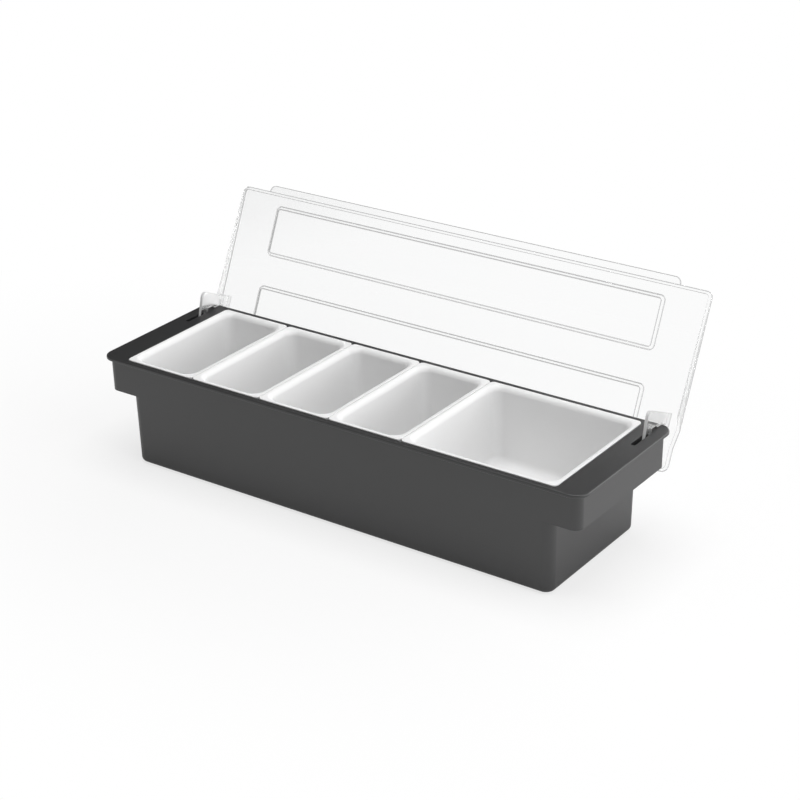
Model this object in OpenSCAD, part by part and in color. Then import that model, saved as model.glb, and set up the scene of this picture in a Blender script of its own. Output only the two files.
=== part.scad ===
// Condiment caddy: a long moulded housing with hanging end wings, five lift-out
// inserts that hang in it by their rims, and one clear flip lid on moulded pivots.
// The origin is the centre of the standing ring, on the table. X runs along the
// housing, the front is -Y, and +Z is up. The lid is drawn thrown open.

/* [Inserts] */
// Width of a small insert over its rim
small_w = 72.45; // [60:0.05:90]
// Depth of an insert, front to back, over its rim
insert_d = 136.5; // [125:0.1:150]
// Height of an insert
insert_h = 69; // [50:1:80]
// Gap between the rims of two inserts
insert_gap = 0.5; // [0.3:0.1:1.5]
// Thickness of the insert rim
insert_rim_t = 3; // [2:0.1:4]
// How far the insert rim overhangs the insert body
insert_lip = 4.4; // [3.6:0.1:6]
// Wall of an insert
insert_wall = 1.8; // [1.2:0.1:2.4]
// Draft of the insert walls, in degrees
insert_draft = 4.5; // [2.5:0.5:6]
// Corner radius of the insert rim, in plan
insert_rim_r = 4; // [3:0.5:9]
// Corner radius of the insert cavity, in plan
insert_corner_r = 11; // [8:0.5:14]
// Radius between the wall and the floor inside an insert
insert_floor_r = 8; // [4:0.5:8]
// Width of the flare at the mouth of an insert
mouth_flare = 2; // [0.5:0.1:3]
// Depth of the flare at the mouth of an insert
mouth_drop = 3.5; // [1:0.1:5]

/* [Housing] */
// Height of the housing rim above the table
rim_z = 99; // [90:1:120]
// Thickness of the rim
rim_t = 3; // [2.5:0.1:4]
// Corner radius of the rim, in plan
rim_r = 12.5; // [10:0.5:16]
// Width of the rim in front of and behind the inserts
rim_side_w = 5.35; // [4.5:0.05:9]
// Width of the flat wing top at each end
wing_top_w = 26.1; // [24:0.05:32]
// How far the rim overhangs the outer face of a wing
rim_over = 4.5; // [3:0.1:6]
// How far the wings hang below the rim top
wing_drop = 33; // [27:0.5:36]
// Wall of the housing
wall = 2.2; // [1.8:0.1:2.6]
// Draft of the housing walls, in degrees
body_draft = 1; // [1:0.1:3]
// Draft of the outer face of a wing, in degrees
wing_draft = 0.3; // [0:0.1:2]
// Vertical corner radius of the housing
body_r = 9; // [7:0.5:12]
// Vertical corner radius of a wing
wing_r = 8; // [6:0.5:10]
// Radius along the bottom edge of the housing
bottom_r = 4.5; // [3:0.5:6]
// Height of the standing ring under the floor
ring_h = 1; // [0.6:0.1:2]
// Width of the standing ring
ring_w = 2.5; // [2:0.1:5]
// How far the standing ring lies in from the edge of the bottom
ring_inset = 7; // [6:0.5:20]

/* [Fits] */
// How far the insert rims stand above the housing rim
insert_proud = 0.5; // [0.3:0.1:1.2]
// Gap between the insert rims and the pocket that they sit in
pocket_gap = 0.3; // [0.2:0.05:0.6]
// Width of the ledge that carries the insert rims, front and back
seat_w = 1.3; // [1:0.1:2.5]
// Gap between the end inserts and the end walls
end_gap = 1.9; // [0.4:0.1:2.4]
// Gap between the closed lid and the rim, and between the ears and the wings
stop_gap = 0.3; // [0.2:0.05:0.5]
// Gap on each side of an ear in its slot
ear_side_gap = 0.6; // [0.4:0.05:1]
// Gap between an ear and the ends of its slot
ear_end_gap = 0.5; // [0.3:0.05:1]
// Radial play of a lid eye on its pivot pin
pin_play = 0.06; // [0.02:0.01:0.1]

/* [Lid] */
// How far the lid stops short of the rim at each end
lid_end_in = 1.6; // [1:0.1:6]
// Thickness of the lid
lid_t = 2.4; // [1.8:0.1:2.5]
// Lean of the open lid past upright, in degrees
lid_lean = 24.5; // [22:0.1:27]
// How far the lid, measured along its panel, stops short of the front of the rim
lid_front_in = 2; // [0:0.1:3]
// How far the lid reaches past the rear of the rim
lid_rear_over = 6.5; // [0:0.1:8]
// Distance from the pivot to the outer face of the lid
lid_offset = 23.5; // [23:0.1:24]
// Height of the front flange of the lid
front_flange = 3.2; // [2.9:0.1:3.6]
// Height of the flange behind the relief
rear_flange = 3; // [2.6:0.1:3.2]
// Where the relief in the side flanges begins, ahead of the pivot
relief_front = 27.7; // [25:0.1:33]
// Where the relief in the side flanges is at full depth, ahead of the pivot
relief_rear = 15.7; // [12:0.1:21]
// How far the lid ends draw in behind the relief
lid_taper = 2.4; // [1:0.1:3.6]
// Radius of the front corners of the lid
lid_front_r = 5.5; // [4:0.5:8]
// Radius of the rear corners of the lid
lid_rear_r = 6.5; // [4:0.5:8]
// Distance of the ends of the grip lip from the ends of the lid
grip_end_in = 29.6; // [20:0.1:60]
// Reach of the grip lip
grip_reach = 6; // [3:0.1:8]
// How far the grip lip lies in from the edge of the front flange
grip_edge = 0.2; // [0.1:0.1:0.6]
// Thickness of the grip lip
grip_t = 2.1; // [1.5:0.1:2.4]
// Corner radius of the grip lip
grip_r = 6; // [4:0.5:10]
// Distance of the ends of the two raised fields from the ends of the lid
field_end_in = 40.4; // [25:0.1:60]
// Height of a raised field, across the lid
field_w = 47.3; // [30:0.1:50]
// Distance of the front raised field from the front edge of the lid
front_field_in = 11.1; // [8:0.1:16]
// Front edge of the rear raised field, ahead of the pivot
rear_field = 45.5; // [43:0.1:60]
// Height of the raised fields
field_rise = 0.8; // [0.4:0.1:1.2]
// Slope width around a raised field
field_slope = 2.5; // [1.5:0.1:4]
// Corner radius of the raised fields
field_r = 5; // [3.5:0.5:10]

/* [Pivots] */
// Distance of the pivots ahead of the rear wall of the wings
pivot_in = 7.4; // [7:0.1:7.8]
// Depth of the pivots below the rim top
pivot_drop = 13.6; // [13.3:0.1:13.9]
// Radius of the moulded pivot pins
pin_r = 2.5; // [2:0.1:3]
// Distance of the middle of an ear from the end of the lid
ear_end_in = 11.4; // [10.4:0.1:12.4]
// Thickness of an ear
ear_t = 3; // [2:0.1:3.2]
// Reach of an ear ahead of the pivot, up the open lid
ear_top = 28; // [26:0.1:29.5]
// Reach of an ear past the pivot, away from the lid
ear_reach = 21.3; // [19.5:0.1:22]
// How far the front edge of an ear tapers back towards the slot
ear_taper = 3.5; // [1:0.1:4]
// Where the front edge of an ear turns back to the pivot, ahead of the pivot
ear_turn = 4; // [3.5:0.1:6]
// Radius of the free corner of an ear
ear_r = 4.5; // [3.5:0.1:6]
// Radius of the eye at the end of an ear
eye_r = 5.8; // [5.2:0.1:6]
// Width of the snap mouth of an eye
mouth_w = 4.2; // [3.8:0.1:4.4]
// Distance from the pivot forward to the back face of the arm
arm_back = 3.5; // [3.3:0.1:3.8]
// Height of the notch in an ear above the wing top
notch_h = 2.8; // [2:0.1:3.2]
// How far the notch reaches behind the pivot
notch_rear = 3.5; // [3:0.1:4.3]

/* [Hidden] */
$fn = 96;
hull_fn = 32;
thin = 0.01;
cut = 1;

// Two small places for the large insert, after four small ones.
small_count = 4;
large_places = 2;
pitch = small_w + insert_gap;
large_w = large_places * pitch - insert_gap;
row_l = (small_count + large_places) * pitch - insert_gap;

// Levels, from the table up.
seat_z = rim_z + insert_proud - insert_rim_t;
insert_top_z = rim_z + insert_proud;
insert_bottom_z = insert_top_z - insert_h;
plate_z = rim_z - rim_t;
wing_z = rim_z - wing_drop;
step_z = wing_z + wall;
floor_z = ring_h + wall;

// Half lengths and half widths of the housing.
pocket_x = row_l / 2 + pocket_gap;
pocket_y = insert_d / 2 + pocket_gap;
rim_x = pocket_x + wing_top_w;
rim_y = pocket_y + rim_side_w;
well_y = insert_d / 2 - seat_w;
well_x = row_l / 2 - insert_lip + end_gap;
lower_well_x = well_x - (seat_z - step_z) * tan(insert_draft);
body_step_x = lower_well_x + wall;
body_step_y = well_y + wall;
wing_x = rim_x - rim_over;
hollow_x0 = well_x + wall;
hollow_x1 = wing_x - wall - (plate_z - wing_z) * tan(wing_draft);
// The gusset under the seat carries the end rims of the inserts.
gusset = pocket_x + wall - hollow_x0;

function body_x(z) = body_step_x + (z - step_z) * tan(body_draft);
function body_y(z) = body_step_y + (z - step_z) * tan(body_draft);

// Lengths and reaches of the lid, from those of the housing.
pivot_y = well_y - pivot_in;
lid_l = 2 * (rim_x - lid_end_in);
lid_front = pivot_y + rim_y - lid_front_in;
lid_rear = rim_y + lid_rear_over - pivot_y;
grip_l = lid_l - 2 * grip_end_in;
field_l = lid_l - 2 * field_end_in;
front_field = lid_front - front_field_in;
ear_x = lid_l / 2 - ear_end_in;

// Pivot and lid angles. The closed lid slopes so that its flanges lie level,
// stop_gap above the rim.
pivot_z = rim_z - pivot_drop;
stop_h = pivot_drop + stop_gap;
tip_h = lid_offset - front_flange;
lid_slope = acos(stop_h / norm([tip_h, lid_front])) - atan2(lid_front, tip_h);
panel_angle = 90 - lid_lean;
swing = 90 + lid_lean + lid_slope;
echo(swing_degrees = swing);

// Distance from the pivot plane to the edge of the side flanges.
function flange_edge(u) = (stop_h + u * sin(lid_slope)) / cos(lid_slope);

// A point of the open pose, in the lid's own frame: along the panel, then away
// from it, both from the pivot.
function in_lid(y, z) =
    [(y - pivot_y) * cos(panel_angle) + (z - pivot_z) * sin(panel_angle),
     (z - pivot_z) * cos(panel_angle) - (y - pivot_y) * sin(panel_angle)];

ear_swing = norm([ear_top - ear_r, ear_reach - ear_r]) + ear_r;
slot_w = ear_t + 2 * ear_side_gap;
slot_front = pivot_y - sqrt(pow(ear_swing + ear_end_gap, 2) - pow(pivot_drop - rim_t, 2));
slot_rear = pivot_y - arm_back + ear_end_gap;
slot_r = 0.8;
// Where the two edges of the arm run onto the eye, in degrees.
arm_front = 50;
arm_rear = 70;
rib_x = ear_x - 2 * ear_t;
rib_t = 2;
rib_drop = eye_r + 1;

// A rectangle with round corners, by half lengths.
module round_rect(hx, hy, r) {
    square([2 * hx, 2 * (hy - r)], center = true);
    square([2 * (hx - r), 2 * hy], center = true);
    for (sx = [-1, 1], sy = [-1, 1])
        translate([sx * (hx - r), sy * (hy - r)])
            circle(r = r);
}

// A plate with round corners from z0 to z1.
module round_plate(hx, hy, r, z0, z1) {
    translate([0, 0, z0])
        linear_extrude(z1 - z0)
            round_rect(hx, hy, r);
}

// Corner posts of a drafted tub: rounded discs below, thin discs above.
module corner_discs(hx, hy, r, edge_r, z) {
    for (sx = [-1, 1], sy = [-1, 1])
        translate([sx * (hx - r), sy * (hy - r), z])
            if (edge_r > 0)
                rotate_extrude($fn = hull_fn) {
                    square([r - edge_r, edge_r]);
                    translate([r - edge_r, edge_r])
                        intersection() {
                            circle(r = edge_r, $fn = hull_fn);
                            translate([0, -edge_r])
                                square(edge_r);
                        }
                }
            else
                cylinder(r = r, h = thin, $fn = hull_fn);
}

// A drafted tub from z0 up to z1, with a rounded bottom edge where edge_r > 0.
module tub(low, high, r, edge_r, z0, z1) {
    hull() {
        corner_discs(low[0], low[1], r, edge_r, z0);
        corner_discs(high[0], high[1], r, 0, z1 - thin);
    }
}

// Shell of the housing, wells and wing hollows cut out.
module housing_shell() {
    difference() {
        union() {
            tub([body_x(ring_h), body_y(ring_h)], [body_x(wing_z), body_y(wing_z)],
                body_r, bottom_r, ring_h, wing_z);
            tub([wing_x - (plate_z - wing_z) * tan(wing_draft), body_y(wing_z)],
                [wing_x, body_y(plate_z)], wing_r, 0, wing_z, plate_z);
            round_plate(rim_x, rim_y, rim_r, plate_z, rim_z);
        }
        tub([body_x(floor_z) - wall, body_y(floor_z) - wall], [lower_well_x, well_y],
            body_r - wall, bottom_r - wall, floor_z, step_z);
        round_plate(well_x, well_y, body_r - wall, step_z - thin, seat_z + cut);
        round_plate(pocket_x, pocket_y, insert_rim_r + pocket_gap, seat_z, rim_z + cut);
        for (side = [0, 1])
            mirror([side, 0, 0]) {
                wing_hollow();
                ear_slot();
            }
    }
}

// The space under a wing, open below, with a gusset along the end wall.
module wing_hollow() {
    intersection() {
        translate([0, well_y, 0])
            rotate([90, 0, 0])
                linear_extrude(2 * well_y)
                    polygon([[hollow_x0, wing_z - cut], [hollow_x1, wing_z - cut],
                             [hollow_x1, plate_z], [hollow_x0 + gusset, plate_z],
                             [hollow_x0, plate_z - gusset]]);
        round_plate(hollow_x1, well_y, wing_r - wall, wing_z - cut, plate_z);
    }
}

// The slot that an ear swings through.
module ear_slot() {
    translate([ear_x, (slot_front + slot_rear) / 2, plate_z - cut])
        linear_extrude(rim_t + 2 * cut)
            round_rect(slot_w / 2, (slot_rear - slot_front) / 2, slot_r);
}

// A moulded pivot pin between the skirt of a wing and a rib under its top.
module pivot() {
    translate([rib_x - rib_t, pivot_y, pivot_z])
        rotate([90, 0, 90]) {
            cylinder(r = pin_r, h = hollow_x1 + wall / 2 - rib_x + rib_t);
            linear_extrude(rib_t) {
                circle(r = rib_drop);
                translate([-rib_drop, 0])
                    square([rib_drop + well_y + wall / 2 - pivot_y,
                            pivot_drop - rim_t / 2]);
            }
        }
}

// The ring that the housing stands on.
module standing_ring() {
    difference() {
        round_plate(body_x(0) - ring_inset, body_y(0) - ring_inset, body_r, 0, ring_h + wall / 2);
        round_plate(body_x(0) - ring_inset - ring_w, body_y(0) - ring_inset - ring_w,
                    body_r - ring_w, -cut, ring_h);
    }
}

module base_housing() {
    color([0.17, 0.17, 0.18]) {
        housing_shell();
        standing_ring();
        for (side = [0, 1])
            mirror([side, 0, 0])
                pivot();
    }
}

// An insert of rim width w, centred on x.
module insert(x, w) {
    rim_hx = w / 2;
    rim_hy = insert_d / 2;
    drop = seat_z - insert_bottom_z;
    body_hx = rim_hx - insert_lip;
    body_hy = rim_hy - insert_lip;
    inner_hx = body_hx - insert_wall;
    inner_hy = body_hy - insert_wall;
    lean_in = drop * tan(insert_draft);
    inner_z = insert_bottom_z + insert_wall;
    inner_in = (seat_z - inner_z) * tan(insert_draft);
    color([0.93, 0.93, 0.92])
        translate([x, 0, 0])
            difference() {
                union() {
                    tub([body_hx - lean_in, body_hy - lean_in], [body_hx, body_hy],
                        insert_corner_r, insert_floor_r, insert_bottom_z, seat_z + thin);
                    round_plate(rim_hx, rim_hy, insert_rim_r, seat_z, insert_top_z);
                }
                tub([inner_hx - inner_in, inner_hy - inner_in], [inner_hx, inner_hy],
                    insert_corner_r - insert_wall, insert_floor_r - insert_wall, inner_z,
                    insert_top_z + thin);
                tub([inner_hx, inner_hy], [inner_hx + mouth_flare, inner_hy + mouth_flare],
                    insert_corner_r - insert_wall, 0, insert_top_z - mouth_drop,
                    insert_top_z + thin);
            }
}

function small_x(i) = -row_l / 2 + small_w / 2 + i * pitch;

module insert_small_1() { insert(small_x(0), small_w); }
module insert_small_2() { insert(small_x(1), small_w); }
module insert_small_3() { insert(small_x(2), small_w); }
module insert_small_4() { insert(small_x(3), small_w); }
module insert_large() { insert(row_l / 2 - large_w / 2, large_w); }

// Outline of the lid in its own plane, drawn in by a wall where needed: x along
// the lid, y from the pivot towards the front edge.
module lid_outline(inset) {
    hx = lid_l / 2 - inset;
    rear_hx = hx - lid_taper;
    front = lid_front - inset;
    rear = -lid_rear + inset;
    fr = lid_front_r - inset;
    rr = lid_rear_r - inset;
    polygon([[-hx, relief_rear], [-hx, front - fr], [-hx + fr, front],
             [hx - fr, front], [hx, front - fr], [hx, relief_rear],
             [rear_hx, 0], [rear_hx, rear + rr], [rear_hx - rr, rear],
             [-rear_hx + rr, rear], [-rear_hx, rear + rr], [-rear_hx, 0]]);
    for (s = [-1, 1]) {
        translate([s * (hx - fr), front - fr])
            circle(r = fr);
        translate([s * (rear_hx - rr), rear + rr])
            circle(r = rr);
    }
}

// Panel and flanges: a shallow tray cut to the side profile of the flanges.
module lid_tray() {
    side_top = lid_offset - flange_edge(relief_front);
    difference() {
        intersection() {
            linear_extrude(side_top + cut)
                lid_outline(0);
            translate([-lid_l / 2, 0, 0])
                rotate([90, 0, 90])
                    linear_extrude(lid_l)
                        polygon([[-lid_rear - cut, -cut], [lid_front + cut, -cut],
                                 [lid_front + cut, lid_offset - flange_edge(lid_front + cut)],
                                 [relief_front, side_top], [relief_rear, rear_flange],
                                 [-lid_rear - cut, rear_flange]]);
        }
        translate([0, 0, lid_t])
            linear_extrude(side_top)
                lid_outline(lid_t);
    }
}

// One raised field of the panel, and the recess behind it.
module raised_field(front_edge, inset, z0, z1) {
    translate([0, front_edge - field_w / 2, 0])
        round_plate(field_l / 2 - inset, field_w / 2 - inset, field_r - inset, z0, z1);
}

// The grip lip at the front edge.
module grip_lip() {
    translate([0, 0, front_flange - grip_edge - grip_t])
        linear_extrude(grip_t)
            intersection() {
                translate([0, lid_front + grip_reach - 2 * grip_r])
                    round_rect(grip_l / 2, 2 * grip_r, grip_r);
                translate([-grip_l / 2, lid_front - lid_t])
                    square([grip_l, lid_t + grip_reach]);
            }
}

// Side shape of an ear: from the panel over the wing top, down through the slot
// and back to the pivot.
module ear_shape() {
    root = lid_t / 2 - lid_offset;
    arm_y = pivot_y - arm_back;
    eye_in = 0.8 * eye_r;
    corner = [ear_top - ear_r, ear_reach - ear_r];
    turn = [ear_turn, ear_reach - ear_taper];
    edge_angle = atan2(turn[1] - corner[1], turn[0] - corner[0])
                 - acos(ear_r / norm(turn - corner));
    difference() {
        union() {
            polygon([[ear_top, root], [ear_top, corner[1]],
                     corner + ear_r * [cos(edge_angle), sin(edge_angle)], turn,
                     eye_in * [-sin(arm_front), cos(arm_front)], [0, 0],
                     in_lid(pivot_y + eye_in * cos(arm_rear), pivot_z + eye_in * sin(arm_rear)),
                     in_lid(arm_y, plate_z - ear_end_gap),
                     in_lid(arm_y, rim_z + notch_h),
                     in_lid(pivot_y + notch_rear, rim_z + notch_h),
                     in_lid(pivot_y + notch_rear + notch_h, rim_z + stop_gap),
                     in_lid(rim_y + stop_gap, rim_z + stop_gap),
                     [relief_rear, root]]);
            translate(corner)
                circle(r = ear_r);
            circle(r = eye_r);
        }
        circle(r = pin_r + pin_play);
        rotate(-panel_angle)
            translate([0, -mouth_w / 2])
                square([2 * eye_r, mouth_w]);
    }
}

module ear() {
    translate([ear_x - ear_t / 2, 0, 0])
        rotate([90, 0, 90])
            linear_extrude(ear_t)
                ear_shape();
}

module flip_lid() {
    color([0.82, 0.86, 0.88, 0.35])
        translate([0, pivot_y, pivot_z])
            rotate([panel_angle, 0, 0]) {
                translate([0, 0, -lid_offset])
                    difference() {
                        union() {
                            lid_tray();
                            raised_field(front_field, 0, -field_rise, lid_t / 2);
                            raised_field(rear_field, 0, -field_rise, lid_t / 2);
                            grip_lip();
                        }
                        raised_field(front_field, field_slope / 2, lid_t - field_rise, lid_t + cut);
                        raised_field(rear_field, field_slope / 2, lid_t - field_rise, lid_t + cut);
                    }
                for (side = [0, 1])
                    mirror([side, 0, 0])
                        ear();
            }
}

base_housing();
flip_lid();
insert_small_1();
insert_small_2();
insert_small_3();
insert_small_4();
insert_large();
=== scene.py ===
import math

import bmesh
import bpy
from mathutils import Matrix, Vector


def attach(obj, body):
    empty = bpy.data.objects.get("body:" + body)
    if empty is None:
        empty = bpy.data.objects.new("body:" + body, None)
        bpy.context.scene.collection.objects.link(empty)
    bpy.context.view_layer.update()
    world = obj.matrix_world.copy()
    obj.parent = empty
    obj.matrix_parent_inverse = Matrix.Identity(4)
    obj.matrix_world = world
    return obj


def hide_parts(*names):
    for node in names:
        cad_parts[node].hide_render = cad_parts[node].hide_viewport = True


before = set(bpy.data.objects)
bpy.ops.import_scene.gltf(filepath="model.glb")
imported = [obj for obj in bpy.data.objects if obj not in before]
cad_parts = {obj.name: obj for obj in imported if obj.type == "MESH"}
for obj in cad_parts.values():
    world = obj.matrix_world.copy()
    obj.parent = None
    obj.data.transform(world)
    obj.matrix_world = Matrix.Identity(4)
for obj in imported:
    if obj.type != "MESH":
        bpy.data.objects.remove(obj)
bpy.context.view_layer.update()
scene = bpy.context.scene

MM = 0.001

# Making of the meshes: steps of a quarter arc, how far a cutter runs past the face it cuts
# and how near points are welded in millimetres, how near they are merged in metres, what
# counts as flat or sharp, and how much the large faces weigh in the shading
ARC = 10
FIELD_STEPS = 6
EAR_BEVEL_STEPS = 3
PAST = 1.0
SLIGHTLY_PAST = 0.001
WELD = 0.0005
MERGE = 2e-6
LEAST_CORNER = 0.01
FLAT = math.radians(0.2)
SHARP = math.radians(32)
EAR_SHARP = math.radians(50)
LARGE_FACE_WEIGHT = 60

# Sizes of the inserts and the housing, in millimetres, as in the part's own source
SMALL_COUNT = 4
LARGE_PLACES = 2
SMALL_W = 72.45
INSERT_D = 136.5
INSERT_H = 69.0
INSERT_GAP = 0.5
INSERT_RIM_T = 3.0
INSERT_LIP = 4.4
INSERT_WALL = 1.8
INSERT_DRAFT = math.radians(4.5)
INSERT_RIM_R = 4.0
INSERT_CORNER_R = 11.0
INSERT_FLOOR_R = 8.0
INSERT_MOUTH_R = 5.0
RIM_Z = 99.0
RIM_T = 3.0
RIM_R = 12.5
RIM_SIDE_W = 5.35
WING_TOP_W = 26.1
RIM_OVER = 4.5
WING_DROP = 33.0
WALL = 2.2
BODY_DRAFT = math.radians(1)
WING_DRAFT = math.radians(0.3)
BODY_R = 9.0
WING_R = 8.0
BOTTOM_R = 4.5
RING_H = 1.0
RING_W = 2.5
RING_INSET = 7.0
INSERT_PROUD = 0.5
POCKET_GAP = 0.3
SEAT_W = 1.3
END_GAP = 1.9
STOP_GAP = 0.3
EAR_SIDE_GAP = 0.6
EAR_END_GAP = 0.5
PIN_PLAY = 0.06

# Sizes of the lid and its pivots
LID_END_IN = 1.6
LID_T = 2.4
LID_LEAN = math.radians(24.5)
LID_FRONT_IN = 2.0
LID_REAR_OVER = 6.5
LID_OFFSET = 23.5
FRONT_FLANGE = 3.2
REAR_FLANGE = 3.0
RELIEF_FRONT = 27.7
RELIEF_REAR = 15.7
LID_TAPER = 2.4
LID_FRONT_R = 5.5
LID_REAR_R = 6.5
GRIP_END_IN = 29.6
GRIP_REACH = 6.0
GRIP_EDGE = 0.2
GRIP_T = 2.1
GRIP_R = 6.0
FIELD_END_IN = 40.4
FIELD_W = 47.3
FRONT_FIELD_IN = 11.1
REAR_FIELD = 45.5
FIELD_RISE = 0.8
FIELD_SLOPE = 2.5
FIELD_WALL = 1.2
FIELD_R = 5.0
PIVOT_IN = 7.4
PIVOT_DROP = 13.6
PIN_R = 2.5
EAR_END_IN = 11.4
EAR_T = 3.0
EAR_TOP = 28.0
EAR_REACH = 21.3
EAR_TAPER = 3.5
EAR_TURN = 4.0
EAR_R = 4.5
EYE_R = 5.8
MOUTH_W = 4.2
ARM_BACK = 3.5
NOTCH_H = 2.8
NOTCH_REAR = 3.5
ARM_FRONT = math.radians(50)
ARM_REAR = math.radians(70)

# Edge rounding that shows in the mouldings
RIM_EDGE = 1.2
RIM_UNDER_EDGE = 0.6
POCKET_EDGE = 0.5
SLOT_EDGE = 0.2
SLOT_R = 0.8
INSERT_EDGE = 0.35
INSERT_UNDER_EDGE = 0.4
LID_EDGE = 1.1
LID_INNER_EDGE = 0.9
EAR_EDGE = 0.45
GRIP_EDGE_R = 1.0
GRIP_ROOT_R = 0.2
FOOT_EDGE = 0.3
FOOT_TOP_EDGE = 0.1
WELL_EDGE = 0.3
HOLLOW_INNER_R = 1.5
LEAST_LID_R = 0.2
FIELD_LAND = 0.3
FIELD_CORNER_SHARE = 0.8
RIB_T = 2.0
RIB_MARGIN = 1.0

# Faces that get a painted edge material (painted highlights on the ears, painted shade lines
# on the outlines): the material slots of the lid, and the limits of the normal's upright or
# sideways share between which a face counts as an edge
EAR_PAINTED_HIGHLIGHT_SLOT = 1
OUTLINE_PAINTED_SHADE_SLOT = 2
TRAY_TILT = (0.25, 0.96)
FIELD_TILT = (0.2, 0.97)
GRIP_FLAT = 0.97
EAR_SIDE = 0.6

# Worked out from the sizes above
PITCH = SMALL_W + INSERT_GAP
LARGE_W = LARGE_PLACES * PITCH - INSERT_GAP
ROW_L = (SMALL_COUNT + LARGE_PLACES) * PITCH - INSERT_GAP
TOP_Z = RIM_Z + INSERT_PROUD
SEAT_Z = TOP_Z - INSERT_RIM_T
BOTTOM_Z = TOP_Z - INSERT_H
PLATE_Z = RIM_Z - RIM_T
WING_Z = RIM_Z - WING_DROP
STEP_Z = WING_Z + WALL
FLOOR_Z = RING_H + WALL
POCKET_X = ROW_L / 2 + POCKET_GAP
POCKET_Y = INSERT_D / 2 + POCKET_GAP
RIM_X = POCKET_X + WING_TOP_W
RIM_Y = POCKET_Y + RIM_SIDE_W
WELL_Y = INSERT_D / 2 - SEAT_W
WELL_X = ROW_L / 2 - INSERT_LIP + END_GAP
LOWER_WELL_X = WELL_X - (SEAT_Z - STEP_Z) * math.tan(INSERT_DRAFT)
WING_X = RIM_X - RIM_OVER
HOLLOW_X0 = WELL_X + WALL
HOLLOW_X1 = WING_X - WALL - (PLATE_Z - WING_Z) * math.tan(WING_DRAFT)
GUSSET = POCKET_X + WALL - HOLLOW_X0
PIVOT_Y = WELL_Y - PIVOT_IN
PIVOT_Z = RIM_Z - PIVOT_DROP
LID_L = 2 * (RIM_X - LID_END_IN)
LID_FRONT = PIVOT_Y + RIM_Y - LID_FRONT_IN
LID_REAR = RIM_Y + LID_REAR_OVER - PIVOT_Y
GRIP_L = LID_L - 2 * GRIP_END_IN
FIELD_L = LID_L - 2 * FIELD_END_IN
FRONT_FIELD = LID_FRONT - FRONT_FIELD_IN
EAR_X = LID_L / 2 - EAR_END_IN
STOP_H = PIVOT_DROP + STOP_GAP
TIP_H = LID_OFFSET - FRONT_FLANGE
LID_SLOPE = math.acos(STOP_H / math.hypot(TIP_H, LID_FRONT)) - math.atan2(LID_FRONT, TIP_H)
PANEL_ANGLE = math.pi / 2 - LID_LEAN
EAR_SWING = math.hypot(EAR_TOP - EAR_R, EAR_REACH - EAR_R) + EAR_R
SLOT_W = EAR_T + 2 * EAR_SIDE_GAP
SLOT_FRONT = PIVOT_Y - math.sqrt((EAR_SWING + EAR_END_GAP) ** 2 - (PIVOT_DROP - RIM_T) ** 2)
SLOT_REAR = PIVOT_Y - ARM_BACK + EAR_END_GAP
RIB_X = EAR_X - 2 * EAR_T
RIB_DROP = EYE_R + RIB_MARGIN


def body_x(z):
    """Half length of the tub's outer wall at a height."""
    return LOWER_WELL_X + WALL + (z - STEP_Z) * math.tan(BODY_DRAFT)


def body_y(z):
    """Half depth of the tub's outer wall at a height."""
    return WELL_Y + WALL + (z - STEP_Z) * math.tan(BODY_DRAFT)


def flange_edge(u):
    """Distance from the pivot plane to the edge of the side flanges."""
    return (STOP_H + u * math.sin(LID_SLOPE)) / math.cos(LID_SLOPE)


def in_lid(y, z):
    """A point of the open pose in the lid's frame: along the panel, then away from it."""
    dy, dz = y - PIVOT_Y, z - PIVOT_Z
    c, s = math.cos(PANEL_ANGLE), math.sin(PANEL_ANGLE)
    return (dy * c + dz * s, dz * c - dy * s)


def arc_points(cx, cy, r, start, end, steps):
    """Points of an arc, both ends among them."""
    turns = [start + (end - start) * i / steps for i in range(steps + 1)]
    return [(cx + r * math.cos(a), cy + r * math.sin(a)) for a in turns]


def quarter(steps):
    """Pairs (1 - sin, 1 - cos) along a quarter turn, in so many steps, for a rounded edge."""
    turns = [math.pi / 2 * i / steps for i in range(steps + 1)]
    return [(1 - math.sin(a), 1 - math.cos(a)) for a in turns]


def ring(x0, x1, y0, y1, radii, z):
    """A closed ring round a rectangle. radii are those of the corners -x-y, +x-y, +x+y, -x+y."""
    corners = [(x0, y0, 1, 1), (x1, y0, -1, 1), (x1, y1, -1, -1), (x0, y1, 1, -1)]
    points = []
    for i, (x, y, sx, sy) in enumerate(corners):
        r = max(radii[i], LEAST_CORNER)
        start = math.pi + i * math.pi / 2
        for px, py in arc_points(x + sx * r, y + sy * r, r, start, start + math.pi / 2, ARC):
            points.append((px, py, z))
    return points


def even_ring(hx, hy, r, z):
    """A ring centred on the origin, by half lengths."""
    return ring(-hx, hx, -hy, hy, [r] * 4, z)


def mesh_object(name, bm):
    """A mesh object in metres from a bmesh in millimetres."""
    bmesh.ops.remove_doubles(bm, verts=bm.verts, dist=WELD)
    bmesh.ops.recalc_face_normals(bm, faces=bm.faces)
    bmesh.ops.scale(bm, vec=(MM, MM, MM), verts=bm.verts)
    mesh = bpy.data.meshes.new(name)
    bm.to_mesh(mesh)
    bm.free()
    obj = bpy.data.objects.new(name, mesh)
    scene.collection.objects.link(obj)
    return obj


def loft(name, rings):
    """A closed solid through rings of equal count, capped at both ends."""
    bm = bmesh.new()
    rows = [[bm.verts.new(p) for p in points] for points in rings]
    for low, high in zip(rows, rows[1:]):
        for i in range(len(low)):
            j = (i + 1) % len(low)
            bm.faces.new((low[i], low[j], high[j], high[i]))
    bm.faces.new(list(reversed(rows[0])))
    bm.faces.new(rows[-1])
    return mesh_object(name, bm)


def prism(name, outline, start, length, axes):
    """A closed solid: an outline swept along one axis. axes maps (a, b, along) to x, y, z."""
    rings = []
    for along in (start, start + length):
        rings.append([tuple((a, b, along)[k] for k in axes) for a, b in outline])
    return loft(name, rings)


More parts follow.
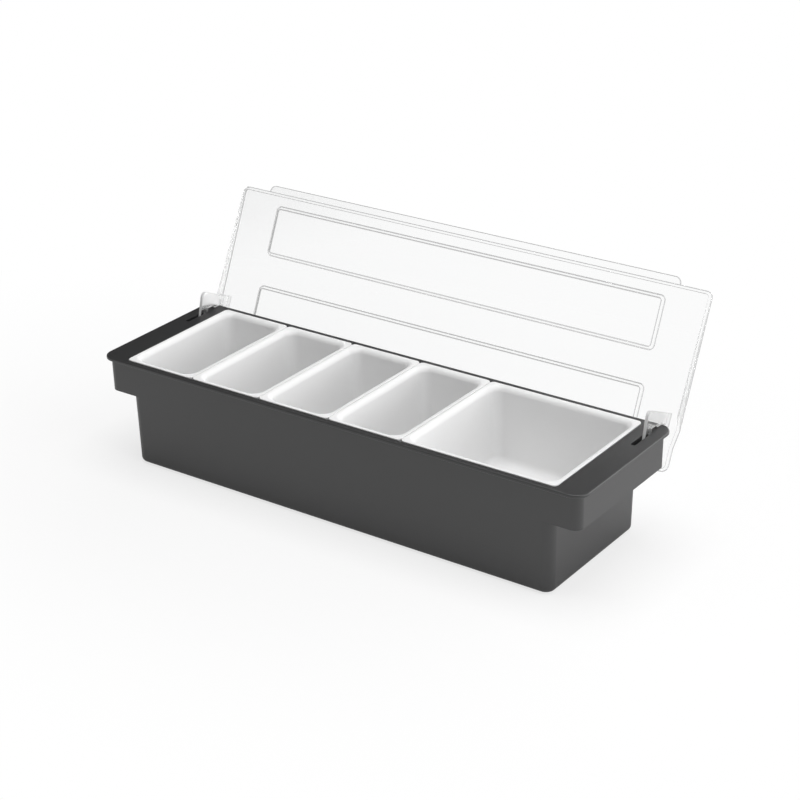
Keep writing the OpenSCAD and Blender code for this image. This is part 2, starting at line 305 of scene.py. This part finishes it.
def evaluated(obj):
    """A new mesh of the object with its modifiers applied."""
    graph = bpy.context.evaluated_depsgraph_get()
    return bpy.data.meshes.new_from_object(obj.evaluated_get(graph))


def apply_modifiers(obj):
    """Puts what the modifiers make in place of the object's mesh."""
    mesh = evaluated(obj)
    obj.modifiers.clear()
    obj.data = mesh


def combine(obj, others, operation):
    """Joins to, cuts from or keeps what obj shares with the others, and removes them."""
    for other in others:
        cutter = obj.modifiers.new("combine", "BOOLEAN")
        cutter.operation = operation
        cutter.solver = "EXACT"
        cutter.material_mode = "TRANSFER"
        cutter.object = other
        bpy.context.view_layer.update()
        apply_modifiers(obj)
        bpy.data.objects.remove(other)
    return obj


def tidy_faces(obj):
    """Merges flat neighbours, so that the shading of a flat face has no seams."""
    bm = bmesh.new()
    bm.from_mesh(obj.data)
    bmesh.ops.remove_doubles(bm, verts=bm.verts, dist=MERGE)
    bmesh.ops.dissolve_degenerate(bm, edges=bm.edges, dist=MERGE)
    bmesh.ops.dissolve_limit(bm, angle_limit=FLAT, verts=bm.verts, edges=bm.edges)
    bm.to_mesh(obj.data)
    bm.free()


def smooth(obj):
    """Smooth shading that keeps hard edges and lets large flat faces stay flat."""
    for face in obj.data.polygons:
        face.use_smooth = True
    obj.data.set_sharp_from_angle(angle=SHARP)
    weighted = obj.modifiers.new("weighted normals", "WEIGHTED_NORMAL")
    weighted.keep_sharp = True
    weighted.weight = LARGE_FACE_WEIGHT
    apply_modifiers(obj)


def round_in(inset_at, z, radius, draft, convex):
    """Insets and heights of a fillet between a level face at z and a drafted wall.

    inset_at gives the wall's inset at a height. A convex fillet rounds a top edge over
    into the wall, and a concave or outer bottom one runs from the wall to the floor.
    """
    side = -1 if convex else 1
    zc = z + side * radius
    centre = inset_at(zc) + side * radius / math.cos(draft)
    last = math.pi / 2 - draft
    turns = [last * i / ARC for i in range(ARC + 1)]
    return [(centre - side * radius * math.sin(a), zc - side * radius * math.cos(a))
            for a in turns]


def insert_solid(name, centre_x, width):
    """One insert: drafted tub, round floor edge, rim with a soft mouth."""
    hx, hy = width / 2, INSERT_D / 2

    def outer(z):
        return INSERT_LIP + (SEAT_Z - z) * math.tan(INSERT_DRAFT)

    def inner(z):
        return outer(z) + INSERT_WALL

    def at(inset, z, r):
        return ring(centre_x - hx + inset, centre_x + hx - inset, -hy + inset, hy - inset,
                    [r] * 4, z)

    inner_r = INSERT_CORNER_R - INSERT_WALL
    floor_z = BOTTOM_Z + INSERT_WALL
    rings = []
    for inset, z in round_in(outer, BOTTOM_Z, INSERT_FLOOR_R, INSERT_DRAFT, False):
        rings.append(at(inset, z, INSERT_CORNER_R - (inset - outer(z))))
    rings.append(at(outer(SEAT_Z), SEAT_Z, INSERT_CORNER_R))
    rings.append(at(INSERT_UNDER_EDGE, SEAT_Z, INSERT_RIM_R - INSERT_UNDER_EDGE))
    for fall, rise in quarter(4):
        inset = INSERT_UNDER_EDGE * fall
        rings.append(at(inset, SEAT_Z + INSERT_UNDER_EDGE * rise, INSERT_RIM_R - inset))
    for fall, rise in quarter(6):
        inset = INSERT_EDGE * rise
        rings.append(at(inset, TOP_Z - INSERT_EDGE * fall, INSERT_RIM_R - inset))
    for inset, z in round_in(inner, TOP_Z, INSERT_MOUTH_R, INSERT_DRAFT, True):
        rings.append(at(inset, z, inner_r + inner(z) - inset))
    floor_r = INSERT_FLOOR_R - INSERT_WALL
    for inset, z in reversed(round_in(inner, floor_z, floor_r, INSERT_DRAFT, False)):
        rings.append(at(inset, z, inner_r - (inset - inner(z))))
    obj = loft(name, rings)
    smooth(obj)
    return obj


def rounded_plate(name, hx, hy, r, z0, z1, low_edge, high_edge):
    """A plate with rounded lower and upper edges."""
    rings = []
    for fall, rise in quarter(5):
        inset = low_edge * fall
        rings.append(even_ring(hx - inset, hy - inset, r - inset, z0 + low_edge * rise))
    for fall, rise in quarter(8):
        inset = high_edge * rise
        rings.append(even_ring(hx - inset, hy - inset, r - inset, z1 - high_edge * fall))
    return loft(name, rings)


def flared_cutter(name, x0, x1, y0, y1, radii, z0, z1, edge):
    """A cutter whose mouth at z1 leaves a rounded edge."""
    def grown(grow, z):
        return ring(x0 - grow, x1 + grow, y0 - grow, y1 + grow, [r + grow for r in radii], z)

    rings = [grown(0, z0)]
    rings += [grown(edge * rise, z1 - edge * fall) for fall, rise in quarter(6)]
    rings.append(grown(edge, z1 + PAST))
    return loft(name, rings)


def housing_solid():
    """The black tub with its end wings, pocket, slots and moulded pivots."""
    def inset_x(z):
        return body_x(WING_Z) - body_x(z)

    body_rings = []
    for inset, z in round_in(inset_x, RING_H, BOTTOM_R, BODY_DRAFT, False):
        body_rings.append(even_ring(body_x(WING_Z) - inset, body_y(WING_Z) - inset,
                                    BODY_R - (inset - inset_x(z)), z))
    body_rings.append(even_ring(body_x(WING_Z), body_y(WING_Z), BODY_R, WING_Z))
    housing = loft("housing", body_rings)
    slab_x = WING_X - (PLATE_Z - WING_Z) * math.tan(WING_DRAFT)
    slab = loft("slab", [even_ring(slab_x, body_y(WING_Z), WING_R, WING_Z),
                         even_ring(WING_X, body_y(PLATE_Z), WING_R, PLATE_Z + RIM_UNDER_EDGE)])
    rim = rounded_plate("rim", RIM_X, RIM_Y, RIM_R, PLATE_Z, RIM_Z, RIM_UNDER_EDGE, RIM_EDGE)
    ring_x, ring_y = body_x(0) - RING_INSET, body_y(0) - RING_INSET
    foot = rounded_plate("foot", ring_x, ring_y, BODY_R, 0, RING_H + WALL / 2, FOOT_EDGE,
                         FOOT_TOP_EDGE)
    combine(housing, [slab, rim, foot], "UNION")

    well_r = BODY_R - WALL
    low_x = body_x(FLOOR_Z) - WALL

    def well_inset(z):
        return (LOWER_WELL_X - low_x) * (STEP_Z - z) / (STEP_Z - FLOOR_Z)

    draft = math.atan((LOWER_WELL_X - low_x) / (STEP_Z - FLOOR_Z))
    well_rings = []
    for inset, z in round_in(well_inset, FLOOR_Z, BOTTOM_R - WALL, draft, False):
        well_rings.append(even_ring(LOWER_WELL_X - inset, WELL_Y - inset,
                                    well_r - (inset - well_inset(z)), z))
    well_rings.append(even_ring(LOWER_WELL_X, WELL_Y, well_r, STEP_Z + SLIGHTLY_PAST))
    lower_well = loft("lower_well", well_rings)
    upper_well = flared_cutter("upper_well", -WELL_X, WELL_X, -WELL_Y, WELL_Y, [well_r] * 4,
                               STEP_Z, SEAT_Z, WELL_EDGE)
    pocket_r = INSERT_RIM_R + POCKET_GAP
    pocket = flared_cutter("pocket", -POCKET_X, POCKET_X, -POCKET_Y, POCKET_Y, [pocket_r] * 4,
                           SEAT_Z, RIM_Z, POCKET_EDGE)
    under_ring = loft("under_ring", [
        even_ring(ring_x - RING_W, ring_y - RING_W, BODY_R - RING_W, z) for z in (-PAST, RING_H)])
    cutters = [lower_well, upper_well, pocket, under_ring]
    for side in (-1, 1):
        outer_r, inner_r = WING_R - WALL, HOLLOW_INNER_R
        left_r, right_r = (outer_r, inner_r) if side < 0 else (inner_r, outer_r)
        hollow_rings = []
        for x0, z in ((HOLLOW_X0, WING_Z - PAST), (HOLLOW_X0, PLATE_Z - GUSSET),
                      (HOLLOW_X0 + GUSSET, PLATE_Z)):
            ends = sorted((side * x0, side * HOLLOW_X1))
            hollow_rings.append(ring(ends[0], ends[1], -WELL_Y, WELL_Y,
                                     [left_r, right_r, right_r, left_r], z))
        cutters.append(loft("hollow", hollow_rings))
        ends = sorted((side * (EAR_X - SLOT_W / 2), side * (EAR_X + SLOT_W / 2)))
        cutters.append(flared_cutter("slot", ends[0], ends[1], SLOT_FRONT, SLOT_REAR, [SLOT_R] * 4,
                                     PLATE_Z - PAST, RIM_Z, SLOT_EDGE))
    combine(housing, cutters, "DIFFERENCE")
    pivots = []
    for side in (-1, 1):
        rib_side = sorted((side * (RIB_X - RIB_T), side * RIB_X))
        outline = [(WELL_Y + WALL / 2, RIM_Z - RIM_T / 2), (PIVOT_Y - RIB_DROP, RIM_Z - RIM_T / 2)]
        outline += arc_points(PIVOT_Y, PIVOT_Z, RIB_DROP, math.pi, 1.5 * math.pi, ARC)
        outline += [(WELL_Y + WALL / 2, PIVOT_Z - RIB_DROP)]
        pivots.append(prism("rib", outline, rib_side[0], RIB_T, (2, 0, 1)))
        pin_ends = sorted((side * (RIB_X - RIB_T / 2), side * (HOLLOW_X1 + WALL / 2)))
        circle = arc_points(PIVOT_Y, PIVOT_Z, PIN_R, 0, 2 * math.pi, 4 * ARC)[:-1]
        pivots.append(prism("pin", circle, pin_ends[0], pin_ends[1] - pin_ends[0], (2, 0, 1)))
    combine(housing, pivots, "UNION")
    tidy_faces(housing)
    smooth(housing)
    return housing


def lid_ring(inset, w):
    """Ring of the lid's outline, drawn in by an inset, at height w over its outer face."""
    hx = LID_L / 2 - inset
    rear_hx = hx - LID_TAPER
    front, rear = LID_FRONT - inset, -LID_REAR + inset
    fr, rr = max(LID_FRONT_R - inset, LEAST_LID_R), max(LID_REAR_R - inset, LEAST_LID_R)
    right = [(rear_hx, 0), (hx, RELIEF_REAR)]
    right += arc_points(hx - fr, front - fr, fr, 0, math.pi / 2, ARC)
    right = arc_points(rear_hx - rr, rear + rr, rr, -math.pi / 2, 0, ARC) + right
    left = [(-x, y) for x, y in reversed(right)]
    return [(x, y, w) for x, y in right + left]


def lid_tray():
    """Panel and flanges, cut to the side profile of the flanges."""
    side_top = LID_OFFSET - flange_edge(RELIEF_FRONT)
    rings = [lid_ring(LID_EDGE * fall, LID_EDGE * rise) for fall, rise in quarter(6)]
    rings += [lid_ring(inset, side_top + PAST) for inset in (0, LID_T)]
    rings += [lid_ring(LID_T + LID_INNER_EDGE * rise, LID_T + LID_INNER_EDGE * fall)
              for fall, rise in quarter(4)]
    tray = loft("lid", rings)
    front, rear = LID_FRONT + PAST, -LID_REAR - PAST
    profile = [(rear, -2 * PAST), (front, -2 * PAST), (front, LID_OFFSET - flange_edge(front)),
               (RELIEF_FRONT, side_top), (RELIEF_REAR, REAR_FLANGE), (rear, REAR_FLANGE)]
    keep = prism("profile", profile, -LID_L / 2 - PAST, LID_L + 2 * PAST, (2, 0, 1))
    mark_painted_edges(keep, lambda normal: False)
    # Painted shade: the tray's rounded, slanting faces get grey outline lines.
    mark_painted_edges(tray, tilted(*TRAY_TILT))
    return combine(tray, [keep], "INTERSECT")


def tilted(low, high):
    """A test for faces whose normal's upright share lies between two limits."""
    return lambda normal: low < abs(normal.z) < high


# Painted light: the edge materials paint pale highlights and grey shade lines onto the lid's clear
# edges.
def mark_painted_edges(obj, chosen, slot=OUTLINE_PAINTED_SHADE_SLOT):
    """Gives the faces whose normal passes the test a painted edge material by its slot: painted
    pale or grey lines in place of the light that the clear edges bend.
    """
    if not obj.data.materials:
        for material in lid_materials:
            obj.data.materials.append(material)
    for face in obj.data.polygons:
        face.material_index = slot if chosen(face.normal) else 0
    return obj


def field_rings(front_edge, inset, w0, w1, start, end):
    """Rings of a raised field from level w0 to w1, with a steep wall rounded at both ends."""
    hx, hy = FIELD_L / 2, FIELD_W / 2
    middle = front_edge - hy
    levels = [(0, start)]
    for step in range(FIELD_STEPS + 1):
        t = step / FIELD_STEPS
        levels.append((FIELD_WALL * t, w0 + (w1 - w0) * (0.5 - 0.5 * math.cos(math.pi * t))))
    levels.append((FIELD_WALL + FIELD_LAND, end))
    rings = []
    for step, w in levels:
        i = inset + step
        rings.append(ring(-hx + i, hx - i, middle - hy + i, middle + hy - i,
                          [FIELD_R - i * FIELD_CORNER_SHARE] * 4, w))
    return rings


def ear_outline():
    """Side shape of an ear in the lid's frame: along the panel, then from its outer face."""
    corner = (EAR_TOP - EAR_R, EAR_REACH - EAR_R)
    turn = (EAR_TURN, EAR_REACH - EAR_TAPER)
    run = (turn[0] - corner[0], turn[1] - corner[1])
    edge = math.atan2(run[1], run[0]) - math.acos(EAR_R / math.hypot(*run))
    arm_y = PIVOT_Y - ARM_BACK
    eye_front = math.pi - (math.pi / 2 - ARM_FRONT)
    eye_rear = ARM_REAR - PANEL_ANGLE
    mouth = math.asin(MOUTH_W / 2 / (PIN_R + PIN_PLAY))
    outer_mouth = math.asin(MOUTH_W / 2 / EYE_R)
    points = [(EAR_TOP, LID_T / 2 - LID_OFFSET)]
    points += arc_points(corner[0], corner[1], EAR_R, 0, edge, ARC)
    points += [turn]
    points += arc_points(0, 0, EYE_R, eye_front, 2 * math.pi - PANEL_ANGLE - outer_mouth, 2 * ARC)
    points += arc_points(0, 0, PIN_R + PIN_PLAY, 2 * math.pi - PANEL_ANGLE - mouth,
                         -PANEL_ANGLE + mouth, 3 * ARC)
    points += arc_points(0, 0, EYE_R, -PANEL_ANGLE + outer_mouth, eye_rear, ARC)
    points += [in_lid(arm_y, PLATE_Z - EAR_END_GAP), in_lid(arm_y, RIM_Z + NOTCH_H),
               in_lid(PIVOT_Y + NOTCH_REAR, RIM_Z + NOTCH_H),
               in_lid(PIVOT_Y + NOTCH_REAR + NOTCH_H, RIM_Z + STOP_GAP),
               in_lid(RIM_Y + STOP_GAP, RIM_Z + STOP_GAP), (RELIEF_REAR, LID_T / 2 - LID_OFFSET)]
    return [(u, w + LID_OFFSET) for u, w in points]


def ear_solid(side):
    """One ear with bevelled edges, on the left (-1) or on the right (1)."""
    ends = sorted((side * (EAR_X - EAR_T / 2), side * (EAR_X + EAR_T / 2)))
    ear = prism("ear", ear_outline(), ends[0], EAR_T, (2, 0, 1))
    bevel = ear.modifiers.new("edge", "BEVEL")
    bevel.width = EAR_EDGE * MM
    bevel.segments = EAR_BEVEL_STEPS
    bevel.limit_method = "ANGLE"
    bevel.angle_limit = EAR_SHARP
    bevel.use_clamp_overlap = True
    apply_modifiers(ear)
    # Painted highlight: the ears' cut edges get a pale grey material in place of the light they
    # catch.
    return mark_painted_edges(ear, lambda normal: abs(normal.x) < EAR_SIDE, EAR_PAINTED_HIGHLIGHT_SLOT)


def grip_solid():
    """The lip along the front edge, with round ends and soft edges."""
    far = LID_FRONT + GRIP_REACH
    low = FRONT_FLANGE - GRIP_EDGE - GRIP_T
    levels = [(GRIP_EDGE_R * fall, low + GRIP_EDGE_R * rise) for fall, rise in quarter(4)]
    levels += [(GRIP_EDGE_R * rise, low + GRIP_T - GRIP_EDGE_R * fall)
               for fall, rise in quarter(4)]
    rings = [ring(-GRIP_L / 2 + i, GRIP_L / 2 - i, LID_FRONT - LID_T / 2, far - i,
                  [GRIP_ROOT_R, GRIP_ROOT_R, GRIP_R - i, GRIP_R - i], w) for i, w in levels]
    # Painted shade: the grip's steep faces get grey outline lines.
    return mark_painted_edges(loft("grip", rings), lambda normal: abs(normal.z) < GRIP_FLAT)


def lid_solid():
    """The clear lid, made flat in its own frame and then set to the open pose."""
    lid = lid_tray()
    low = LID_T - FIELD_RISE

    def on_fields(name, *levels):
        # Painted shade: the slopes of the raised fields get grey outline lines.
        return [mark_painted_edges(loft(name, field_rings(edge, *levels)), tilted(*FIELD_TILT))
                for edge in (FRONT_FIELD, REAR_FIELD)]

    bumps = on_fields("bump", 0, 0, -FIELD_RISE, LID_T / 2, -FIELD_RISE)
    recesses = on_fields("recess", FIELD_SLOPE, LID_T, low, LID_T + PAST, low)
    combine(lid, bumps, "UNION")
    combine(lid, recesses, "DIFFERENCE")
    combine(lid, [grip_solid(), ear_solid(-1), ear_solid(1)], "UNION")
    place = (Matrix.Translation((0, PIVOT_Y * MM, PIVOT_Z * MM))
             @ Matrix.Rotation(PANEL_ANGLE, 4, "X")
             @ Matrix.Translation((0, 0, -LID_OFFSET * MM)))
    lid.data.transform(place)
    tidy_faces(lid)
    smooth(lid)
    return lid


# Looks of the plastics: tones, roughness from low to high, scale of the cloudy noise per metre
HOUSING_TONE = (0.015, 0.015, 0.0155, 1)
HOUSING_VARIES = (0.94, 1.06)
HOUSING_ROUGH = (0.36, 0.42)
HOUSING_IOR = 1.7
HOUSING_CLOUD = 14.0
HOUSING_GRAIN = 900.0
HOUSING_BUMP = 0.12
INSERT_TONES = (0.80, 0.83)
INSERT_ROUGH = (0.42, 0.50)
INSERT_CLOUD = 18.0
INSERT_GRAIN = 500.0
INSERT_BUMP = 0.05
GRAIN_DEPTH = 0.0002
CLEAR_TONE = (0.995, 1.0, 1.0, 1)
CLEAR_ROUGH = (0.01, 0.05)
CLEAR_IOR = 1.49
CLEAR_CLOUD = 25.0
CLEAR_WAVE = 0.04
CLEAR_WAVE_DEPTH = 0.0005
CLEAR_TINT = (0.99, 0.8)
CLEAR_TINT_FACING = (0.12, 0.8)
LID_STRAIGHT = 0.5
EDGE_CLEAR = 0.1
EDGE_ROUGH = (0.30, 0.45)
EDGE_CLOUD = 60.0

# Looks of the floor and the studio. Lengths are in metres. The floor's white share rises
# from near to far, counted in half axes of an oval around the caddy
PAPER_TONES = (0.90, 0.92)
PAPER_CLOUD = 60.0
FLOOR_WHITE = 0.72
FLOOR_GLOSS = 0.2
FLOOR_HALF = 6.0
OVAL_X = 0.30
OVAL_Y = 0.19
OVAL_FADE = (0.9, 2.4)
THROUGH_FADE = (0.85, 1.15)
THROUGH_LEVEL = 0.35
FRONT_LEVEL = 0.28
BACK_LEVEL = 0.04
BACK_FADE = (0.0, 0.5)
DOME_FADE = (0.35, 0.8)
BRIGHT_BACK = 3.0
BRIGHT_TOP = 0.25
BRIGHT_WAY = (0.643, 0.766, 0.0)
BRIGHT_FADE = (0.30, 0.55)
BRIGHT_RISE = (0.3, 0.6)

# Lights: name, place and size in metres, power in watts
LIGHT_AIM = (0.0, 0.0, 0.05)
LIGHTS = (("top_light", (0.0, 0.0, 1.9), (1.4, 1.4), 21.5),
          ("key_light", (1.1, -0.1, 1.1), (0.8, 0.8), 4))


def grey(value):
    return (value, value, value, 1)


class Nodes:
    """A small helper that adds and links the nodes of one material or world."""

    def __init__(self, owner, output):
        self.owner = owner
        owner.use_nodes = True
        self.tree = owner.node_tree
        self.tree.nodes.clear()
        self.output = self.tree.nodes.new(output)

    def add(self, kind, inputs=None, **settings):
        node = self.tree.nodes.new(kind)
        for key, value in settings.items():
            setattr(node, key, value)
        for key, value in (inputs or {}).items():
            if isinstance(value, bpy.types.NodeSocket):
                self.tree.links.new(value, node.inputs[key])
            else:
                node.inputs[key].default_value = value
        return node

    def place(self, kind="Object"):
        return self.add("ShaderNodeTexCoord").outputs[kind]

    def noise(self, place, scale, detail):
        return self.add("ShaderNodeTexNoise", {"Vector": place, "Scale": scale,
                                               "Detail": detail}).outputs["Fac"]

    def band(self, value, start, end, low=0.0, high=1.0, shape="LINEAR"):
        """Maps a value's range from low to high onto start to end."""
        return self.add("ShaderNodeMapRange", {"Value": value, "From Min": low, "From Max": high,
                                               "To Min": start, "To Max": end},
                        interpolation_type=shape).outputs["Result"]

    def greys(self, value, tones):
        """Greys between two tones, by a value."""
        node = self.add("ShaderNodeValToRGB", {"Fac": value})
        for stop, tone in zip(node.color_ramp.elements, tones):
            stop.color = grey(tone)
        return node.outputs["Color"]

    def bump(self, height, strength, distance):
        return self.add("ShaderNodeBump", {"Height": height, "Strength": strength,
                                           "Distance": distance}).outputs["Normal"]

    def number(self, first, second, operation):
        return self.add("ShaderNodeMath", {0: first, 1: second},
                        operation=operation).outputs["Value"]

    def length(self, vector):
        return self.add("ShaderNodeVectorMath", {0: vector}, operation="LENGTH").outputs["Value"]

    def along(self, vector, way):
        return self.add("ShaderNodeVectorMath", {0: vector, 1: way},
                        operation="DOT_PRODUCT").outputs["Value"]

    def plastic(self, inputs):
        return self.add("ShaderNodeBsdfPrincipled", inputs).outputs["BSDF"]

    def blend(self, factor, first, second):
        """A mix of two shaders."""
        return self.add("ShaderNodeMixShader", {0: factor, 1: first, 2: second}).outputs["Shader"]

    def see_through(self, shader, tint, share):
        """Lets a share of the rays, and all that cast shadows, go straight on with a tint."""
        through = self.add("ShaderNodeBsdfTransparent", {"Color": tint}).outputs["BSDF"]
        shadow = self.add("ShaderNodeLightPath").outputs["Is Shadow Ray"]
        return self.blend(self.number(shadow, share, "MAXIMUM"), shader, through)

    def surface(self, shader):
        self.tree.links.new(shader, self.output.inputs["Surface"])
        return self.owner


def material_nodes(name):
    return Nodes(bpy.data.materials.new(name), "ShaderNodeOutputMaterial")


def housing_material():
    """Black satin plastic with a fine moulded grain."""
    n = material_nodes("black_satin_plastic")
    place = n.place()
    cloud = n.noise(place, HOUSING_CLOUD, 4.0)
    colour = n.add("ShaderNodeMix", {"Factor": n.band(cloud, *HOUSING_VARIES), "A": grey(0.0),
                                     "B": HOUSING_TONE}, data_type="RGBA", clamp_factor=False)
    grain = n.bump(n.noise(place, HOUSING_GRAIN, 3.0), HOUSING_BUMP, GRAIN_DEPTH)
    return n.surface(n.plastic({"Base Color": colour.outputs["Result"], "IOR": HOUSING_IOR,
                                "Roughness": n.band(cloud, *HOUSING_ROUGH), "Normal": grain}))


def insert_material():
    """White plastic with a soft gloss and a very faint flow in its tone."""
    n = material_nodes("white_insert_plastic")
    place = n.place()
    cloud = n.noise(place, INSERT_CLOUD, 3.0)
    grain = n.bump(n.noise(place, INSERT_GRAIN, 2.0), INSERT_BUMP, GRAIN_DEPTH)
    return n.surface(n.plastic({"Base Color": n.greys(cloud, INSERT_TONES),
                                "Roughness": n.band(cloud, *INSERT_ROUGH), "Normal": grain}))


def lid_material():
    """Clear polished plastic, a little greyer where it is seen edge on, with a pale shadow."""
    n = material_nodes("clear_plastic")
    cloud = n.noise(n.place(), CLEAR_CLOUD, 2.0)
    clear = n.plastic({"Base Color": CLEAR_TONE, "Roughness": n.band(cloud, *CLEAR_ROUGH),
                       "IOR": CLEAR_IOR, "Transmission Weight": 1.0,
                       "Normal": n.bump(cloud, CLEAR_WAVE, CLEAR_WAVE_DEPTH)})
    facing = n.add("ShaderNodeLayerWeight", {"Blend": 0.5}).outputs["Facing"]
    tint = n.band(facing, *CLEAR_TINT, *CLEAR_TINT_FACING)
    return n.surface(n.see_through(clear, tint, LID_STRAIGHT))


def painted_edge_look(name, tone, share, tint):
    """A painted edge of the clear plastic: a flat grey tone, a share of it seen straight through,
    in place of the light that the edge bends.
    """
    n = material_nodes(name)
    cloud = n.noise(n.place(), EDGE_CLOUD, 2.0)
    # Painted highlight and shade: a grey tone stands in for light bent at the clear edges.
    edge_paint = n.plastic({"Base Color": grey(tone), "Roughness": n.band(cloud, *EDGE_ROUGH),
                      "IOR": CLEAR_IOR, "Transmission Weight": EDGE_CLEAR})
    return n.surface(n.see_through(edge_paint, grey(tint), share))


def ear_edge_painted_highlight():
    """The cut edges of the ears: a painted highlight, a pale flat grey that shows against the
    housing in place of the light which clear edges catch.
    """
    # Painted highlight: a pale grey tone of 0.68, with nothing seen straight through.
    return painted_edge_look("clear_plastic_ear_painted_highlight", 0.68, 0.0, 0.9)


def outline_painted_shade():
    """Rounded outlines of the lid: painted shade, faintly grey lines against a pale ground in
    place of the light which the rounded edges bend.
    """
    # Painted shade: a grey tone of 0.55, with a share seen through a grey tint of 0.66.
    return painted_edge_look("clear_plastic_outline_painted_shade", 0.55, 0.7, 0.66)


def floor_material():
    """White paper floor: white where it is seen, with a soft shadow kept."""
    n = material_nodes("white_floor")
    place = n.place()
    paper = n.add("ShaderNodeBsdfDiffuse",
                  {"Color": n.greys(n.noise(place, PAPER_CLOUD, 2.0), PAPER_TONES)})
    white = n.add("ShaderNodeEmission", {"Color": grey(1.0), "Strength": 1.0})
    oval = n.add("ShaderNodeVectorMath", {0: place, 1: (1 / OVAL_X, 1 / OVAL_Y, 0)},
                 operation="MULTIPLY").outputs["Vector"]
    share = n.band(n.length(oval), FLOOR_WHITE, 1.0, *OVAL_FADE, "SMOOTHSTEP")
    past = n.band(n.length(place), 1.0, THROUGH_LEVEL, *THROUGH_FADE)
    path = n.add("ShaderNodeLightPath").outputs
    glossy = n.number(path["Is Glossy Ray"], FLOOR_GLOSS, "MULTIPLY")
    through = n.number(path["Is Transmission Ray"], past, "MULTIPLY")
    seen = n.number(n.number(path["Is Camera Ray"], glossy, "MAXIMUM"), through, "MAXIMUM")
    return n.surface(n.blend(n.number(seen, share, "MULTIPLY"), paper.outputs["BSDF"],
                             white.outputs["Emission"]))


def paint(obj, material, body, node):
    """Gives a piece its body and slot, and lets it stand for its CAD node."""
    if not any(obj.data.materials):
        obj.data.materials.clear()
        obj.data.materials.append(material)
    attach(obj, body)
    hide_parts(node)


# Camera at the photograph's place
CAMERA_PLACE = Vector((929.67, -1265.82, 822.1)) * MM
CAMERA_YAW = math.radians(-35.544)
CAMERA_PITCH = math.radians(25.02)
CAMERA_ROLL = math.radians(0.958)
FOCAL_PIXELS = 2048.66
PICTURE_PIXELS = 800
SENSOR = 36.0
CLIP_END = 20


def add_camera():
    """The camera, turned by yaw, pitch and roll from a level view along y."""
    yaw, pitch, roll = CAMERA_YAW, CAMERA_PITCH, CAMERA_ROLL
    forward = Vector((math.sin(yaw) * math.cos(pitch), math.cos(yaw) * math.cos(pitch),
                      -math.sin(pitch)))
    right = Vector((math.cos(yaw), -math.sin(yaw), 0))
    down = forward.cross(right)
    across = right * math.cos(roll) + down * math.sin(roll)
    below = down * math.cos(roll) - right * math.sin(roll)
    data = bpy.data.cameras.new("camera")
    data.sensor_fit = "HORIZONTAL"
    data.sensor_width = SENSOR
    data.lens = FOCAL_PIXELS / PICTURE_PIXELS * SENSOR
    data.clip_end = CLIP_END
    camera = bpy.data.objects.new("camera", data)
    scene.collection.objects.link(camera)
    axes = Matrix((across, -below, -forward)).transposed().to_4x4()
    camera.matrix_world = Matrix.Translation(CAMERA_PLACE) @ axes
    scene.camera = camera


def add_softbox(name, place, size, power):
    """A square light that faces the caddy."""
    data = bpy.data.lights.new(name, "AREA")
    data.shape = "RECTANGLE"
    data.size, data.size_y = size
    data.energy = power
    light = bpy.data.objects.new(name, data)
    scene.collection.objects.link(light)
    aim = (Vector(LIGHT_AIM) - Vector(place)).to_track_quat("-Z", "Y")
    light.matrix_world = Matrix.Translation(place) @ aim.to_matrix().to_4x4()


def add_world():
    """A studio of two tones: dark behind and to the left, bright behind and to the right."""
    scene.world = bpy.data.worlds.new("studio")
    n = Nodes(scene.world, "ShaderNodeOutputWorld")
    soft = "SMOOTHSTEP"
    way = n.place("Generated")
    height = n.add("ShaderNodeSeparateXYZ", {"Vector": way}).outputs["Z"]
    bright = n.number(n.band(n.along(way, BRIGHT_WAY), 0.0, 1.0, *BRIGHT_FADE, soft),
                      n.band(height, BRIGHT_BACK, BRIGHT_TOP, *BRIGHT_RISE, soft), "MULTIPLY")
    back = n.band(n.along(way, (0, 1, 0)), FRONT_LEVEL, BACK_LEVEL, *BACK_FADE, soft)
    dome = n.number(n.band(height, 0.0, 1.0, *DOME_FADE, soft), FRONT_LEVEL, "MULTIPLY")
    level = n.number(n.number(back, dome, "MAXIMUM"), bright, "MAXIMUM")

    def glow(strength):
        return n.add("ShaderNodeBackground", {"Color": grey(1.0),
                                              "Strength": strength}).outputs["Background"]

    path = n.add("ShaderNodeLightPath").outputs
    glass = n.blend(path["Is Transmission Ray"], glow(level), glow(THROUGH_LEVEL))
    n.surface(n.blend(path["Is Camera Ray"], glass, glow(1.0)))


def add_floor():
    """The floor that the caddy stands on, far wider than the picture."""
    bm = bmesh.new()
    corners = ((-1, -1), (1, -1), (1, 1), (-1, 1))
    bm.faces.new([bm.verts.new((x * FLOOR_HALF, y * FLOOR_HALF, 0)) for x, y in corners])
    mesh = bpy.data.meshes.new("floor")
    bm.to_mesh(mesh)
    bm.free()
    floor = bpy.data.objects.new("floor", mesh)
    scene.collection.objects.link(floor)
    mesh.materials.append(floor_material())


add_camera()
add_world()
add_floor()
for light in LIGHTS:
    add_softbox(*light)

paint(housing_solid(), housing_material(), "housing", "base_housing")
lid_materials = (lid_material(), ear_edge_painted_highlight(), outline_painted_shade())
paint(lid_solid(), lid_materials[0], "lid", "flip_lid")
white_plastic = insert_material()
for number in range(SMALL_COUNT):
    node = f"insert_small_{number + 1}"
    centre = -ROW_L / 2 + SMALL_W / 2 + number * PITCH
    paint(insert_solid(f"small_tub_{number + 1}", centre, SMALL_W), white_plastic,
          f"small_insert_{number + 1}", node)
paint(insert_solid("large_tub", ROW_L / 2 - LARGE_W / 2, LARGE_W), white_plastic,
      "large_insert", "insert_large")

scene.view_settings.view_transform = "Standard"
